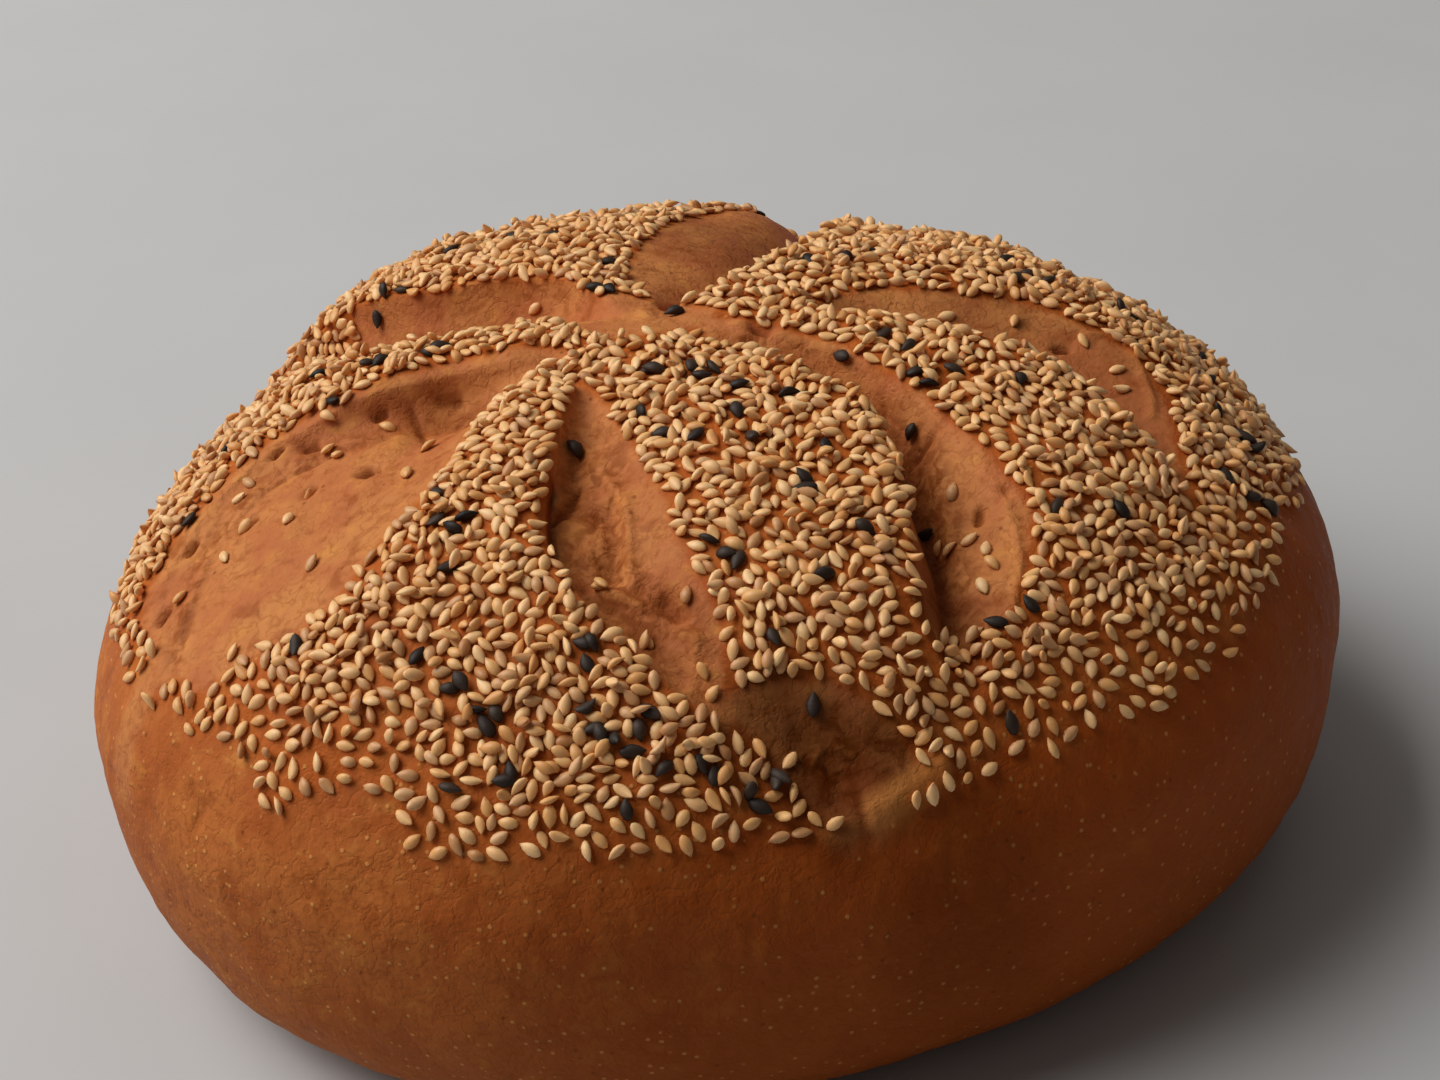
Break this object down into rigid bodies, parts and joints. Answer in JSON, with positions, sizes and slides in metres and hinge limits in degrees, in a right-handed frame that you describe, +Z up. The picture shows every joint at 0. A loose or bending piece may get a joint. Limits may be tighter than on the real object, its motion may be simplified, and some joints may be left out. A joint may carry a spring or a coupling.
{
  "type": "round rye loaf",
  "caption": "Round hearth-baked rye loaf with cuts that swirl out from the middle of its seeded top and a flat underside.",
  "frame": {"origin": "under the middle of the swirl, on the flat underside of the loaf", "axes": "+Z up through the swirl, -Y towards the front of the picture, +X to its right"},
  "size_m": [0.2051, 0.1964, 0.09],
  "materials": {
    "crust": "satin"
  },
  "bodies": {
    "root": {"loaf": "crust"}
  },
  "joints": []
}
